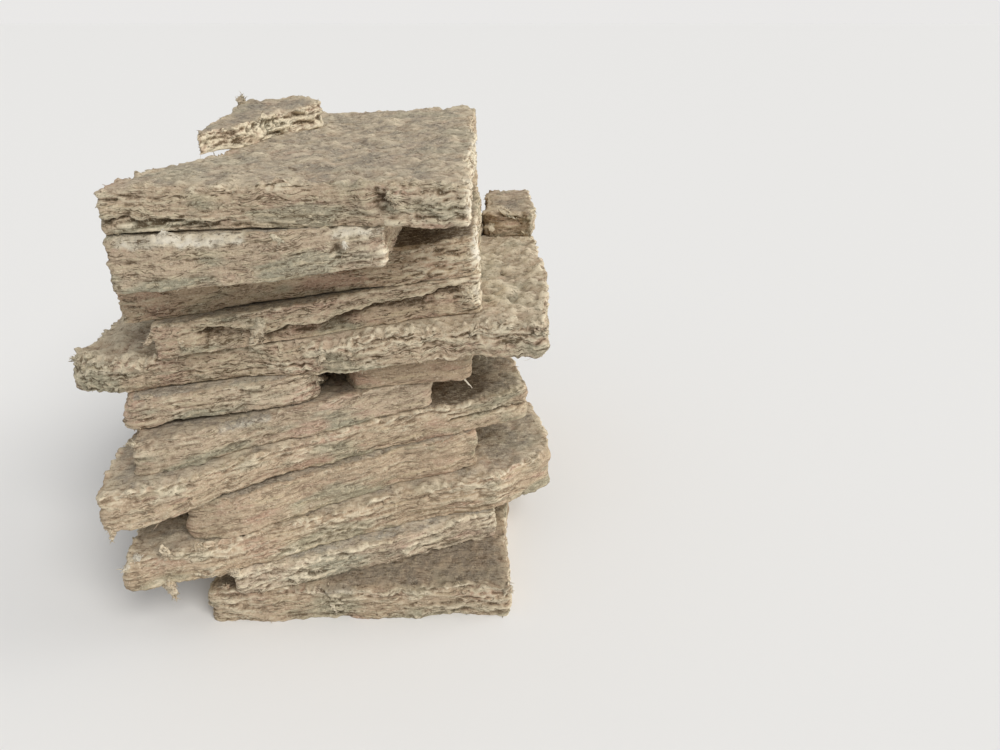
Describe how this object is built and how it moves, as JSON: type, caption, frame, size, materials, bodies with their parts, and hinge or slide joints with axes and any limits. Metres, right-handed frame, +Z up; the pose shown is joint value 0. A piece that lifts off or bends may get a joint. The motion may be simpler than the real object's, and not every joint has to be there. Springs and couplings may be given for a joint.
{
  "type": "mineral wool slab stack",
  "caption": "Loose upright pile of torn beige mineral wool insulation boards, lying flat and turned against each other, with frayed edges and a torn leaf on top.",
  "frame": {"origin": "centre of the pile's footprint on the floor", "axes": "+Z up, front of the pile towards -Y, +X to the right seen from the front"},
  "size_m": [0.6578, 0.758, 0.6198],
  "materials": {
    "wool": "matte"
  },
  "bodies": {
    "root": {"torn_top_leaf": "wool", "slab_01": "wool", "slab_02": "wool", "slab_03": "wool", "slab_04": "wool", "slab_05": "wool", "rear_offcut": "wool", "front_offcut": "wool", "slab_06": "wool", "slab_07": "wool", "slab_08": "wool", "slab_09": "wool", "slab_10": "wool", "slab_11": "wool", "slab_12": "wool"}
  },
  "joints": []
}
